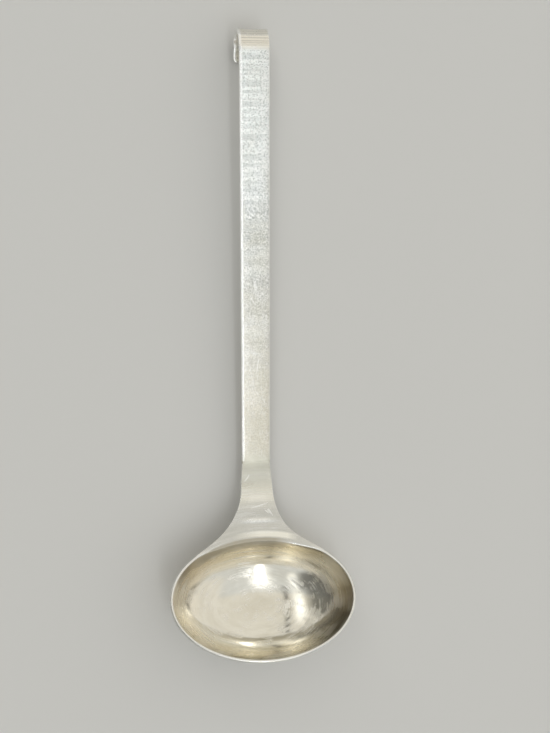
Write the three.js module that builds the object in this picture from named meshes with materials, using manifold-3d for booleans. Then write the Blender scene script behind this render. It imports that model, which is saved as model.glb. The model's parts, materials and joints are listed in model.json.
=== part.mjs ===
// Soup ladle: an oval pressed bowl with a flared neck, a flat strap handle with a hanging hook,
// and the butt weld between them. Millimetres, +Z up, handle along +Y, lying on its bowl and hook.
import * as THREE from 'three';
import { mergeVertices } from 'three/addons/utils/BufferGeometryUtils.js';
import Module from 'manifold-3d';

const wasm = await Module();
wasm.setup();

// Bowl, measured over its outside with the rim level
const BOWL_WIDTH = 95;
const BOWL_LENGTH = 64;
const BOWL_DEPTH = 30;
const SHEET = 1.5;
const BOWL_FULLNESS = 2.35;

// Neck, which leaves the rim level, lifts a little and bends up into the line of the handle
const NECK_WIDTH = 16.4;
const NECK_LIFT = THREE.MathUtils.degToRad(5);
const NECK_LIFT_RADIUS = 70;
const NECK_STRAIGHT = 19;
const NECK_BEND_RADIUS = 30;
const TONGUE = 2;
const FLARE_START = 26;
const FLARE_REACH = 34;
const FLARE_NECK_PULL = 21;
const FLARE_RIM_PULL = 9;

// Handle strap and its hook
const HANDLE_RISE = THREE.MathUtils.degToRad(24);
const STRAP_LENGTH = 208;
const STRAP_THICKNESS = 2.2;
const STRAP_EDGE_RADIUS = 0.8;
const STRAP_WIDTH_AT_NECK = 14.6;
const STRAP_WIDTH_AT_HOOK = 15.5;
const HOOK_RADIUS = 11;
const HOOK_TAIL = 5;
const HOOK_CORNER_RADIUS = 3;

// Weld between the tongue of the neck and the strap: a groove that opens to the back
const WELD_FACE = 0.5;
const WELD_BEVEL = 1;
const WELD_CROWN = 0.5;
const WELD_CLEARANCE = 0.3;

// Smoothness of the faceted surfaces
const RING_STEPS = 72;
const WALL_STEPS = 14;
const BEND_STEPS = 6;
const HOOK_STEPS = 20;
const FLARE_STEPS = 14;
const EDGE_STEPS = 2;
const CORNER_STEPS = 6;
const CREST_STEPS = 4;

// How far a cutting form stands proud of what it cuts
const CUT_MARGIN = 4;
// Points closer than this are one point
const MERGE_DISTANCE = 1e-4;
const REST_HALVINGS = 50;

const WELD_GROOVE = WELD_FACE + 2 * WELD_CLEARANCE;
const RIM_X = BOWL_WIDTH / 2;
const RIM_Y = BOWL_LENGTH / 2;
const ACROSS = new THREE.Matrix4().makeBasis(
  new THREE.Vector3(0, 1, 0),
  new THREE.Vector3(0, 0, 1),
  new THREE.Vector3(1, 0, 0),
);

// Closed geometry to a solid that can be joined and cut
function toSolid(geometry) {
  const bare = geometry.clone();
  bare.deleteAttribute('normal');
  bare.deleteAttribute('uv');
  const merged = mergeVertices(bare, MERGE_DISTANCE);
  const corners = merged.index.array;
  const kept = [];
  for (let i = 0; i < corners.length; i += 3) {
    const [a, b, c] = corners.subarray(i, i + 3);
    if (a !== b && b !== c && c !== a) kept.push(a, b, c);
  }
  return new wasm.Manifold(new wasm.Mesh({
    numProp: 3,
    vertProperties: new Float32Array(merged.attributes.position.array),
    triVerts: new Uint32Array(kept),
  }));
}

function toGeometry(solid) {
  const mesh = solid.getMesh();
  const geometry = new THREE.BufferGeometry();
  geometry.setAttribute('position', new THREE.BufferAttribute(mesh.vertProperties, 3));
  geometry.setIndex(new THREE.BufferAttribute(mesh.triVerts, 1));
  geometry.computeVertexNormals();
  return geometry;
}

// Stations along the front face of a bent strip, each with its place and heading in the Y-Z plane.
// A leg is a straight length, or an arc of the front face with a radius and a signed turn.
function stripStations(start, heading, legs) {
  const stations = [{ y: start.y, z: start.z, heading }];
  let at = stations[0];
  for (const leg of legs) {
    if (leg.turn === 0) continue;
    const steps = leg.turn ? leg.steps : 1;
    const bend = leg.turn ? leg.turn / steps : 0;
    const reach = leg.turn ? 2 * leg.radius * Math.sin(Math.abs(bend) / 2) : leg.length;
    for (let i = 0; i < steps; i += 1) {
      const direction = at.heading + bend / 2;
      at = {
        y: at.y + reach * Math.cos(direction),
        z: at.z + reach * Math.sin(direction),
        heading: at.heading + bend,
      };
      stations.push(at);
    }
  }
  return stations;
}

// Point at a distance behind the front face of a station, moved along its heading
function behind(station, distance, along = 0) {
  return new THREE.Vector2(
    station.y + distance * Math.sin(station.heading) + along * Math.cos(station.heading),
    station.z - distance * Math.cos(station.heading) + along * Math.sin(station.heading),
  );
}

// Side outline of a strip, with its back face cut shorter by a bevel at either end
function stripOutline(stations, thickness, startBevel, endBevel) {
  const last = stations.length - 1;
  const front = stations.map((station) => behind(station, 0));
  const back = stations.map((station, i) => {
    const along = (i === 0 ? startBevel : 0) - (i === last ? endBevel : 0);
    return behind(station, thickness, along);
  });
  return new THREE.Shape([...front, ...back.reverse()].reverse());
}

// Side outline extruded across the handle, centred on the ladle's plane of symmetry
function extrudeAcross(outline, width, edgeRadius) {
  const geometry = new THREE.ExtrudeGeometry(outline, {
    depth: width - 2 * edgeRadius,
    bevelEnabled: edgeRadius > 0,
    bevelThickness: edgeRadius,
    bevelSize: edgeRadius,
    bevelOffset: -edgeRadius,
    bevelSegments: EDGE_STEPS,
  });
  geometry.translate(0, 0, edgeRadius - width / 2);
  return geometry.applyMatrix4(ACROSS);
}

// Oval bowl form, closed at its mouth, with a wall that is steep at the rim and flat at the bottom
function bowlForm(halfWidth, halfLength, depth, headroom) {
  const power = 2 / BOWL_FULLNESS;
  const profile = [];
  for (let i = 0; i <= WALL_STEPS; i += 1) {
    const turn = (i / WALL_STEPS) * Math.PI / 2;
    const height = i === WALL_STEPS ? 0 : -depth * Math.cos(turn) ** power;
    profile.push(new THREE.Vector2(Math.sin(turn) ** power, height));
  }
  if (headroom > 0) profile.push(new THREE.Vector2(1, headroom));
  profile.push(new THREE.Vector2(0, headroom));
  const geometry = new THREE.LatheGeometry(profile, RING_STEPS);
  geometry.rotateX(Math.PI / 2);
  geometry.scale(halfWidth, halfLength, 1);
  return toSolid(geometry);
}

const neckStations = stripStations({ y: 0, z: 0 }, 0, [
  { length: RIM_Y },
  { radius: NECK_LIFT_RADIUS, turn: NECK_LIFT, steps: BEND_STEPS },
  { length: NECK_STRAIGHT },
  { radius: NECK_BEND_RADIUS, turn: HANDLE_RISE - NECK_LIFT, steps: BEND_STEPS },
  { length: TONGUE },
]);
const neckEnd = neckStations.at(-1);

// Plan outline of the neck: straight sides that flare into the rim of the bowl
function neckPlan() {
  const turn = Math.acos(FLARE_REACH / RIM_X);
  const meet = new THREE.Vector2(FLARE_REACH, RIM_Y * Math.sin(turn));
  const alongRim = new THREE.Vector2(-RIM_X * Math.sin(turn), RIM_Y * Math.cos(turn)).normalize();
  const flareTop = new THREE.Vector2(NECK_WIDTH / 2, RIM_Y + FLARE_START);
  const flare = new THREE.CubicBezierCurve(
    meet,
    meet.clone().addScaledVector(alongRim, FLARE_RIM_PULL),
    flareTop.clone().sub(new THREE.Vector2(0, FLARE_NECK_PULL)),
    flareTop,
  ).getPoints(FLARE_STEPS);
  const right = [
    ...flare,
    new THREE.Vector2(STRAP_WIDTH_AT_NECK / 2, neckEnd.y),
    new THREE.Vector2(STRAP_WIDTH_AT_NECK / 2, neckEnd.y + CUT_MARGIN),
  ];
  const left = right.map((point) => new THREE.Vector2(-point.x, point.y)).reverse();
  return new THREE.Shape([...right, ...left]);
}

function makeBowl() {
  const strip = stripOutline(neckStations, SHEET, 0, WELD_BEVEL);
  const sheet = toSolid(extrudeAcross(strip, BOWL_WIDTH, 0));
  const height = BOWL_DEPTH + neckEnd.z + CUT_MARGIN;
  const plan = new THREE.ExtrudeGeometry(neckPlan(), { depth: height, bevelEnabled: false });
  plan.translate(0, 0, -BOWL_DEPTH);
  const neck = sheet.intersect(toSolid(plan));
  const outside = bowlForm(RIM_X, RIM_Y, BOWL_DEPTH, 0);
  const inside = bowlForm(RIM_X - SHEET, RIM_Y - SHEET, BOWL_DEPTH - SHEET, CUT_MARGIN);
  return toGeometry(outside.add(neck).subtract(inside));
}

const strapStart = behind(neckEnd, 0, WELD_GROOVE);
const strapStations = stripStations({ y: strapStart.x, z: strapStart.y }, HANDLE_RISE, [
  { length: STRAP_LENGTH },
  { radius: HOOK_RADIUS, turn: -Math.PI, steps: HOOK_STEPS },
  { length: HOOK_TAIL },
]);

// Cutter that rounds the right or left corner of the hook's end
function cornerCutter(side) {
  const tail = strapStations.at(-1);
  const outline = new THREE.Shape();
  outline.moveTo(CUT_MARGIN, CUT_MARGIN);
  outline.lineTo(CUT_MARGIN, -HOOK_CORNER_RADIUS);
  outline.lineTo(0, -HOOK_CORNER_RADIUS);
  outline.absarc(-HOOK_CORNER_RADIUS, -HOOK_CORNER_RADIUS, HOOK_CORNER_RADIUS, 0, Math.PI / 2);
  outline.lineTo(-HOOK_CORNER_RADIUS, CUT_MARGIN);
  const cutter = new THREE.ExtrudeGeometry(outline, {
    depth: 2 * STRAP_THICKNESS,
    bevelEnabled: false,
    curveSegments: CORNER_STEPS,
  });
  if (side < 0) cutter.rotateZ(Math.PI / 2);
  cutter.translate(side * strapWidthAt(tail.y) / 2, 0, -STRAP_THICKNESS / 2);
  cutter.applyMatrix4(new THREE.Matrix4().makeBasis(
    new THREE.Vector3(1, 0, 0),
    new THREE.Vector3(0, Math.cos(tail.heading), Math.sin(tail.heading)),
    new THREE.Vector3(0, -Math.sin(tail.heading), Math.cos(tail.heading)),
  ));
  const end = behind(tail, STRAP_THICKNESS);
  cutter.translate(0, end.x, end.y);
  return toSolid(cutter);
}

// Width of the strap, which tapers evenly from its hook down to the neck
function strapWidthAt(y) {
  const hookStart = strapStations[1];
  const share = (y - strapStart.x) / (hookStart.y - strapStart.x);
  return THREE.MathUtils.lerp(STRAP_WIDTH_AT_NECK, STRAP_WIDTH_AT_HOOK, share);
}

function makeHandle() {
  const outline = stripOutline(strapStations, STRAP_THICKNESS, WELD_BEVEL, 0);
  const strap = extrudeAcross(outline, STRAP_WIDTH_AT_HOOK, STRAP_EDGE_RADIUS);
  const place = strap.attributes.position;
  for (let i = 0; i < place.count; i += 1) {
    place.setX(i, place.getX(i) * strapWidthAt(place.getY(i)) / STRAP_WIDTH_AT_HOOK);
  }
  return toGeometry(toSolid(strap).subtract(cornerCutter(1)).subtract(cornerCutter(-1)));
}

// Weld bead: flush at the front, filling the groove and standing a little proud at the back
function makeWeld() {
  const far = WELD_CLEARANCE + WELD_FACE;
  const outline = [
    behind(neckEnd, 0, WELD_CLEARANCE),
    behind(neckEnd, SHEET, WELD_CLEARANCE - WELD_BEVEL),
    behind(neckEnd, STRAP_THICKNESS, far + WELD_BEVEL),
    behind(neckEnd, 0, far),
  ];
  const crest = new THREE.QuadraticBezierCurve(
    outline[1],
    behind(neckEnd, STRAP_THICKNESS + WELD_CROWN, WELD_GROOVE / 2),
    outline[2],
  ).getPoints(CREST_STEPS);
  outline.splice(1, 2, ...crest);
  return extrudeAcross(new THREE.Shape(outline), STRAP_WIDTH_AT_NECK, 0);
}

// Lowest point of a shape when the ladle is turned about X
function lowest(geometry, turn) {
  const place = geometry.attributes.position;
  let low = Infinity;
  for (let i = 0; i < place.count; i += 1) {
    low = Math.min(low, place.getY(i) * Math.sin(turn) + place.getZ(i) * Math.cos(turn));
  }
  return low;
}

// Turn at which bowl and hook touch one level surface, found by halving
function restTurn(bowl, handle) {
  let down = -Math.PI / 3;
  let up = 0;
  for (let i = 0; i < REST_HALVINGS; i += 1) {
    const middle = (down + up) / 2;
    if (lowest(handle, middle) < lowest(bowl, middle)) down = middle;
    else up = middle;
  }
  return (down + up) / 2;
}

function steel(color, roughness) {
  return new THREE.MeshStandardMaterial({ color, roughness, metalness: 1 });
}

function named(name, geometry, material) {
  const mesh = new THREE.Mesh(geometry, material);
  mesh.name = name;
  return mesh;
}

const bowl = named('bowl', makeBowl(), steel(0xc9c5ba, 0.18));
const handle = named('handle', makeHandle(), steel(0xcfcfcd, 0.38));
const weld = named('weld_seam', makeWeld(), steel(0xbdbab4, 0.42));

const ladle = new THREE.Group();
ladle.add(bowl, handle, weld);
ladle.rotation.x = restTurn(bowl.geometry, handle.geometry);
const box = new THREE.Box3().setFromObject(ladle, true);
ladle.position.set(0, -(box.min.y + box.max.y) / 2, -box.min.z);

export default ladle;
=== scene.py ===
# %% [markdown]
# # A stainless steel soup ladle
# The solids of the ladle come in as a fixed frame: an oval bowl with its neck, a strap handle with a
# hanging hook, and the weld that joins them. They already have the right sizes and places, but they are
# faceted. This lesson replaces each one with a smooth sheet-metal model of the same size, gives every
# surface a worn steel finish, and sets up a plain studio round it.

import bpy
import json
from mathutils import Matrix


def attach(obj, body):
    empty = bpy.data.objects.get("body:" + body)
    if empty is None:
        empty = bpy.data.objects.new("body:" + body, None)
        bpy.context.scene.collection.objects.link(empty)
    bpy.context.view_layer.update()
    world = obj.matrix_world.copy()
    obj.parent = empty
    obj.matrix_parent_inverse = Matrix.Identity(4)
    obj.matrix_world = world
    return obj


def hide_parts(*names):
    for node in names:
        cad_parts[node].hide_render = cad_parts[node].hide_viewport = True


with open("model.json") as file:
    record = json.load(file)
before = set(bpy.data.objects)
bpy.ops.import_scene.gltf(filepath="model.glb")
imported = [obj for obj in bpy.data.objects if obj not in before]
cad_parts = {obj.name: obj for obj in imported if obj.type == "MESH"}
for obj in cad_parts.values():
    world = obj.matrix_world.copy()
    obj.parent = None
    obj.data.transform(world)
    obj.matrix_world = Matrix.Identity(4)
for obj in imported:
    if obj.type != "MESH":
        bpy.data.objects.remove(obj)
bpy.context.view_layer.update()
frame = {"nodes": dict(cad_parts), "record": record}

# %% [markdown]
# ## The rim's own frame
# The ladle lies on its bowl and its hook, so its rim is tilted. Working along tilted axes is awkward, so
# every piece is drawn with the rim level and its centre at the origin, and one matrix carries it to its
# place. The matrix is read from the frame: the handle's flat front gives the tilt, and the widest point of
# the bowl gives the height and place of the rim.

# %% Find the rim
import math
from mathutils import Matrix, Vector

MM = 0.001
HANDLE_RISE = math.radians(24)

front_axis = next(m["axis"] for m in frame["record"]["mounts"] if m["name"] == "strap_front")
tilt = math.atan2(-front_axis[1], front_axis[2]) - HANDLE_RISE
widest = max((v.co for v in frame["nodes"]["bowl"].data.vertices), key=lambda co: co.x)
rim_to_row = Matrix.Translation((0, widest.y, widest.z)) @ Matrix.Rotation(tilt, 4, "X")
print("rim tilted by", round(math.degrees(tilt), 2), "degrees, centre at", rim_to_row.translation)

# %% [markdown]
# ## The bowl
# A real bowl is pressed from one sheet of steel, together with the neck. The smoothest way to model that is
# a coarse cage of four-sided faces under a Subdivision Surface. A spun bowl would have a pole in the
# middle of its mirror-like floor, where dozens of edges meet and the reflection pinches. So the floor
# starts as a square grid that is mapped onto a disc, and the wall grows out of it ring by ring.

# %% Sizes of the bowl and a point on its wall
import bmesh
import bpy

RIM_X = 47.5 * MM
RIM_Y = 32 * MM
DEPTH = 30 * MM
SHEET = 1.5 * MM
FULLNESS = 2.35
# The outside is drawn a hair small, because it may not leave the box of the solids
TRIM_Y = 0.06 * MM
TRIM_DEPTH = 0.02 * MM
INSIDE = (RIM_X - SHEET, RIM_Y - SHEET, DEPTH - SHEET)
OUTSIDE = (RIM_X, RIM_Y - TRIM_Y, DEPTH - TRIM_DEPTH)


def wall_point(shell, turn, share):
    half_x, half_y, depth = shell
    drop = depth * (1 - share ** FULLNESS) ** (1 / FULLNESS)
    return Vector((half_x * share * math.cos(turn), half_y * share * math.sin(turn), -drop))


print("hollow of the bowl in mm:", [round(side / MM, 2) for side in INSIDE])

# %% Floor patch
RING_EDGES = 96
FLOOR_SHARE = 0.56

bowl_mesh = bmesh.new()
turn_of = bowl_mesh.verts.layers.float.new("turn")
back_of = bowl_mesh.verts.layers.float.new("back")
edge_of = bowl_mesh.verts.layers.float.new("edge")


def floor_patch(shell):
    side = RING_EDGES // 4
    made = bmesh.ops.create_grid(bowl_mesh, x_segments=side, y_segments=side, size=1)["verts"]
    for vert in made:
        x, y = (coordinate * math.pi / 4 for coordinate in vert.co.xy)
        p = math.sqrt(2) * math.sin(x) * math.cos(y)
        q = math.sqrt(2) * math.cos(x) * math.sin(y)
        vert[turn_of] = math.atan2(q, p)
        vert.co = wall_point(shell, vert[turn_of], FLOOR_SHARE * math.hypot(p, q))


floor_patch(INSIDE)
print("floor patch:", len(bowl_mesh.faces), "faces")

# %% Rings that follow the wall
WALL_TURNS = (36, 43, 50, 57, 63, 69, 74, 78.5)
NECK_TURNS = (math.radians(45), math.radians(135))
NECK_FADE = 0.22
MOUTH_INSET = 1.8 * MM
INSET_DEPTH = 24 * MM


def open_edges():
    return [edge for edge in bowl_mesh.edges if edge.is_boundary]


def smooth_step(share):
    share = min(1, max(0, share))
    return share * share * (3 - 2 * share)


def under_neck(turn):
    return smooth_step((math.sin(turn) - math.sin(NECK_TURNS[0])) / NECK_FADE)


# The edge value of a ring lightens its edge: wear, with a painted highlight
def next_ring(place, wear_and_highlight=0.0):
    made = bmesh.ops.extrude_edge_only(bowl_mesh, edges=open_edges())["geom"]
    for item in made:
        if isinstance(item, bmesh.types.BMVert):
            item.co = place(item[turn_of])
            item[edge_of] = wear_and_highlight * (1 - under_neck(item[turn_of]))
    return [item for item in made if isinstance(item, bmesh.types.BMFace)]


def outer_wall_ring(share):
    next_ring(lambda turn: wall_point(OUTSIDE, turn, share))


# Under the neck the inner wall stands a little further in
def inner_wall_ring(share):
    def place(turn):
        point = wall_point(INSIDE, turn, share)
        point.y -= MOUTH_INSET * under_neck(turn) * smooth_step(1 + point.z / INSET_DEPTH)
        return point
    next_ring(place)


wall_shares = [math.sin(math.radians(turn)) ** (2 / FULLNESS) for turn in WALL_TURNS]
for share in wall_shares:
    inner_wall_ring(share)
print("inside of the bowl:", len(bowl_mesh.faces), "faces")

# %% Rim and outside
# Rings over the rim, in mm: how far outside the hollow and how high, on the free rim and at the neck, and
# how much the edge is lightened there, by wear and as a painted highlight
OVER_RIM = (
    ((0, -3.2), (-1.45, -3.2), 0),
    ((0, -1.9), (-1.65, -1.6), 0),
    ((0, -0.7), (-1.75, -0.45), 0),
    ((0.1, 0), (-1.5, 0), 0.8),
    ((1.5, 0), (1.5, 0), 0.6),
)
RIM_BACK = (1.5, -1.5)
BELOW_BACK = (1.5, -3.2)


def rim_ring(free, at_neck, wear_and_highlight=0.0):
    def place(turn):
        out, height = (a + under_neck(turn) * (b - a) for a, b in zip(free, at_neck))
        half_x, half_y, _ = INSIDE
        x = (half_x + out * MM) * math.cos(turn)
        y = (half_y + out * MM) * math.sin(turn)
        return Vector((x, y, height * MM))
    return next_ring(place, wear_and_highlight)


for free, at_neck, wear_and_highlight in OVER_RIM:
    rim_ring(free, at_neck, wear_and_highlight)
band = rim_ring(RIM_BACK, RIM_BACK)
for vert in {vert for face in band for vert in face.verts if vert.co.z < -SHEET / 2}:
    vert[back_of] = 1
rim_ring(BELOW_BACK, BELOW_BACK)
for share in reversed(wall_shares):
    outer_wall_ring(share)


def faces_neck(face):
    middle = face.calc_center_median()
    turn = math.atan2(middle.y / RIM_Y, middle.x / RIM_X)
    return NECK_TURNS[0] < turn < NECK_TURNS[1]


neck_end = [face for face in band if faces_neck(face)]
print("bowl shell:", len(bowl_mesh.faces), "faces,", len(neck_end), "of them under the neck")

# %% Close the outside with a second floor patch
floor_patch(OUTSIDE)
bmesh.ops.bridge_loops(bowl_mesh, edges=open_edges())
print("open edges left:", len(open_edges()))

# %% [markdown]
# ## The neck
# The neck is the same sheet, running out of the rim level, then lifting and bending up into the line of
# the handle. In plan its sides sweep in from the rim in one curve. The band of small faces just under the
# rim is as tall as the sheet is thick, so extruding that band again and again, one row at a time, grows
# the neck out of the bowl with no seam.

# %% Side view of the neck: the height and slope of its front
NECK_LIFT = math.radians(5)
NECK_LIFT_RADIUS = 70 * MM
NECK_STRAIGHT = 19 * MM
NECK_BEND_RADIUS = 30 * MM
TONGUE = 2 * MM


def neck_legs():
    y, z, slope = RIM_Y, 0.0, 0.0
    legs = []
    for length, radius, turn in (
        (0, NECK_LIFT_RADIUS, NECK_LIFT),
        (NECK_STRAIGHT, 0, 0),
        (0, NECK_BEND_RADIUS, HANDLE_RISE - NECK_LIFT),
        (TONGUE, 0, 0),
    ):
        legs.append((y, z, slope, radius))
        if radius:
            y += radius * (math.sin(slope + turn) - math.sin(slope))
            z += radius * (math.cos(slope) - math.cos(slope + turn))
            slope += turn
        else:
            y += length * math.cos(slope)
            z += length * math.sin(slope)
    return legs, Vector((0, y, z))


NECK_LEGS, neck_tip = neck_legs()


def neck_front(y):
    if y <= RIM_Y:
        return 0.0, 0.0
    start, z, slope, radius = [leg for leg in NECK_LEGS if leg[0] <= y][-1]
    if not radius:
        return z + (y - start) * math.tan(slope), slope
    turned = math.asin(math.sin(slope) + (y - start) / radius)
    return z + radius * (math.cos(slope) - math.cos(turned)), turned


print("neck ends", [round(side / MM, 2) for side in neck_tip], "mm from the rim's centre")

# %% Plan view of the neck: where each row of faces ends
from mathutils.geometry import interpolate_bezier

NECK_HALF = 8.2 * MM
TONGUE_HALF = 7.3 * MM
FLARE_TOP = RIM_Y + 26 * MM
FLARE_PULLS = {-1: (8 * MM, 21 * MM), 1: (11 * MM, 25 * MM)}
FLARE_ROWS = 34
TONGUE_ROWS = 6

corner = Vector((RIM_X * math.cos(NECK_TURNS[0]), RIM_Y * math.sin(NECK_TURNS[0]), 0))
along_rim = Vector((-RIM_X * math.sin(NECK_TURNS[0]), RIM_Y * math.cos(NECK_TURNS[0]), 0)).normalized()
flare_end = Vector((NECK_HALF, FLARE_TOP, 0))


def row_ends(side):
    rim_pull, neck_pull = FLARE_PULLS[side]
    handles = (corner + rim_pull * along_rim, flare_end - Vector((0, neck_pull, 0)))
    ends = [point.xy for point in interpolate_bezier(corner, *handles, flare_end, FLARE_ROWS + 1)[1:]]
    tongue_end = Vector((TONGUE_HALF, neck_tip.y))
    for row in range(1, TONGUE_ROWS + 1):
        ends.append(flare_end.xy.lerp(tongue_end, row / TONGUE_ROWS))
    return ends


left_ends, right_ends = row_ends(-1), row_ends(1)
print("neck rows:", len(left_ends))

# %% Extrude the neck row by row
WELD_BEVEL = 1 * MM
EDGE_START = 0.9
# Marks that the press left across the neck: place, depth and width in mm
PRESS_MARKS = ((32.4, 0.15, 1.2), (38.0, 0.20, 1.3), (47.0, 0.10, 1.8))
PRESS_REACH = 10 * MM
PRESS_POWER = 4


def extrude_row(mesh, faces, keep=False):
    made = bmesh.ops.extrude_face_region(mesh, geom=faces)["geom"]
    if not keep:
        bmesh.ops.delete(mesh, geom=faces, context="FACES")
    new_faces = [item for item in made if isinstance(item, bmesh.types.BMFace)]
    new_verts = [item for item in made if isinstance(item, bmesh.types.BMVert)]
    return new_faces, new_verts


def press_mark(x, y):
    depth = sum(deep * MM * math.exp(-(((y / MM) - at) / wide) ** 2) for at, deep, wide in PRESS_MARKS)
    return depth * math.exp(-((x / PRESS_REACH) ** PRESS_POWER))


for row, (left_end, right_end) in enumerate(zip(left_ends, right_ends)):
    neck_end, row_verts = extrude_row(bowl_mesh, neck_end)
    bevel = WELD_BEVEL if row == len(left_ends) - 1 else 0
    for vert in row_verts:
        across = math.cos(vert[turn_of]) / math.cos(NECK_TURNS[0])
        vert[edge_of] = smooth_step((abs(across) - EDGE_START) / (1 - EDGE_START))
        end = left_end.lerp(right_end, (across + 1) / 2)
        bulge = (1 - smooth_step((end.y - corner.y) / (FLARE_TOP - corner.y))) * RIM_Y
        y = end.y + bulge * (math.sin(vert[turn_of]) - math.sin(NECK_TURNS[0]))
        height, slope = neck_front(y)
        back = SHEET * vert[back_of]
        along = -bevel * vert[back_of]
        x = (right_end.x if across > 0 else left_end.x) * across
        vert.co = Vector((
            x,
            y + back * math.sin(slope) + along * math.cos(slope),
            height - press_mark(x, y) - back * math.cos(slope) + along * math.sin(slope),
        ))
print("bowl with neck:", len(bowl_mesh.faces), "faces")

# %% Finish the bowl: sharp weld end, smooth everywhere else
SMOOTHNESS = 2


def sharpen(mesh, faces):
    crease = mesh.edges.layers.float.get("crease_edge") or mesh.edges.layers.float.new("crease_edge")
    inside = set(faces)
    for face in faces:
        for edge in face.edges:
            if any(other not in inside for other in edge.link_faces):
                edge[crease] = 1
                edge.smooth = False


def finish_piece(mesh, name, node):
    bmesh.ops.recalc_face_normals(mesh, faces=mesh.faces)
    bmesh.ops.transform(mesh, matrix=rim_to_row, verts=mesh.verts)
    open_count = sum(not edge.is_manifold for edge in mesh.edges)
    data = bpy.data.meshes.new(name)
    mesh.to_mesh(data)
    mesh.free()
    data.shade_smooth()
    piece = bpy.data.objects.new(name, data)
    bpy.context.scene.collection.objects.link(piece)
    smooth = piece.modifiers.new("smooth", "SUBSURF")
    smooth.levels = SMOOTHNESS
    smooth.render_levels = SMOOTHNESS
    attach(piece, "root")
    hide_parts(node)
    print(name, "cage:", len(data.polygons), "faces,", open_count, "open or doubled edges")
    return piece


sharpen(bowl_mesh, neck_end)
bowl_piece = finish_piece(bowl_mesh, "bowl_sheet", "bowl")

# %% [markdown]
# ## The strap handle
# The handle is a flat strap with rolled edges, a little wider at the top, bent over into a hook. Bending
# flat metal leaves traces: the middle of the strap sinks in and its edges stand out like small ears. A
# curve with a profile could make the strap, but it would be the same all along. So a section of the strap
# is extruded from the weld to the tip, row by row, and each row is placed on the path with those traces
# added.

# %% Path of the strap's front
WELD_GROOVE = 1.1 * MM
STRAP_LENGTH = 208 * MM
HOOK_RADIUS = 11 * MM
STRAP_ROWS = 15
HOOK_ROWS = 24
# Rows along the hook's tail, in mm, closer together where its corners are rounded
TAIL_ROWS = (1.8, 3.4, 4.2, 4.7, 5.05, 5.2)


def heading(slope):
    return Vector((0, math.cos(slope), math.sin(slope)))


def outward(slope):
    return Vector((0, -math.sin(slope), math.cos(slope)))


strap_start = neck_tip + WELD_GROOVE * heading(HANDLE_RISE)
hook_start = strap_start + STRAP_LENGTH * heading(HANDLE_RISE)
hook_centre = hook_start - HOOK_RADIUS * outward(HANDLE_RISE)
tail_start = hook_centre + HOOK_RADIUS * outward(HANDLE_RISE - math.pi)
laid_slope = -math.pi - tilt

# Each station: place on the front face, slope, how far round the hook, and how far from the tip
stations = []
for row in range(STRAP_ROWS + 1):
    stations.append((strap_start.lerp(hook_start, row / STRAP_ROWS), HANDLE_RISE, 0.0, None))
for row in range(1, HOOK_ROWS + 1):
    bend = math.pi * row / HOOK_ROWS
    slope = HANDLE_RISE - bend
    stations.append((hook_centre + HOOK_RADIUS * outward(slope), slope, bend, None))
for distance in TAIL_ROWS:
    place = tail_start + distance * MM * heading(laid_slope)
    stations.append((place, laid_slope, math.pi, (TAIL_ROWS[-1] - distance) * MM))
print("strap stations:", len(stations))

# %% Strap section
STRAP_THICKNESS = 2.2 * MM
STRAP_HALF_AT_NECK = 7.3 * MM
STRAP_HALF_AT_HOOK = 7.75 * MM
STRAP_COLUMNS = (-1, -0.97, -0.87, -0.6, 0, 0.6, 0.87, 0.97, 1)
STRAP_CROWN = 0.2 * MM
STRAP_ROLL = 0.13 * MM
ROLL_START = 0.84
ROLL_POWER = 1.2
BACK_ROLL = 0.5 * MM
BACK_POWER = 9

strap_mesh = bmesh.new()
column_of = strap_mesh.verts.layers.float.new("column")
deep_of = strap_mesh.verts.layers.float.new("deep")
bmesh.ops.create_grid(strap_mesh, x_segments=len(STRAP_COLUMNS) - 1, y_segments=1, size=1)
for vert in strap_mesh.verts:
    index = round((vert.co.x + 1) / 2 * (len(STRAP_COLUMNS) - 1))
    vert[column_of] = STRAP_COLUMNS[index]
    vert[deep_of] = 0 if vert.co.y > 0 else 1


def strap_half(place):
    share = (place.y - strap_start.y) / (hook_start.y - strap_start.y)
    return STRAP_HALF_AT_NECK + share * (STRAP_HALF_AT_HOOK - STRAP_HALF_AT_NECK)


def rolled_edge(column):
    roll = max(0, abs(column) - ROLL_START) / (1 - ROLL_START)
    return STRAP_ROLL * roll ** ROLL_POWER + STRAP_CROWN * column ** 2


def strap_back(column):
    return STRAP_THICKNESS - BACK_ROLL * abs(column) ** BACK_POWER


print("strap section:", len(strap_mesh.verts), "vertices")

# %% Extrude the strap row by row
HOOK_SAG = 0.55 * MM
TIP_RADIUS = 1.6 * MM


def place_strap_row(verts, station, bevel=0.0):
    place, slope, bend, to_tip = station
    half = strap_half(place)
    if to_tip is not None and to_tip < TIP_RADIUS:
        half -= TIP_RADIUS - math.sqrt(TIP_RADIUS ** 2 - (TIP_RADIUS - to_tip) ** 2)
    for vert in verts:
        column = vert[column_of]
        sag = HOOK_SAG * math.sin(bend) ** 2 * (1 - column ** 2)
        front = rolled_edge(column) * math.cos(bend) ** 2
        depth = sag + (strap_back(column) if vert[deep_of] else front)
        along = bevel * vert[deep_of]
        vert.co = place - depth * outward(slope) + along * heading(slope) + Vector((half * column, 0, 0))


strap_end = list(strap_mesh.faces)
weld_face = list(strap_mesh.faces)
place_strap_row(strap_mesh.verts, stations[0], WELD_BEVEL)
for station in stations[1:]:
    strap_end, row_verts = extrude_row(strap_mesh, strap_end, keep=station is stations[1])
    place_strap_row(row_verts, station)
sharpen(strap_mesh, weld_face)
handle_piece = finish_piece(strap_mesh, "strap_handle", "handle")

# %% [markdown]
# ## The weld
# Bowl and strap are butt-welded: a groove that opens to the back is filled with weld metal. The front was
# ground flush and is hard to see. At the back the bead was left as it set, with a low crown and the
# overlapping ripples of the weld pool. The bead is a small section extruded across the strap, with the
# ripple pressed into its back.

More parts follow.
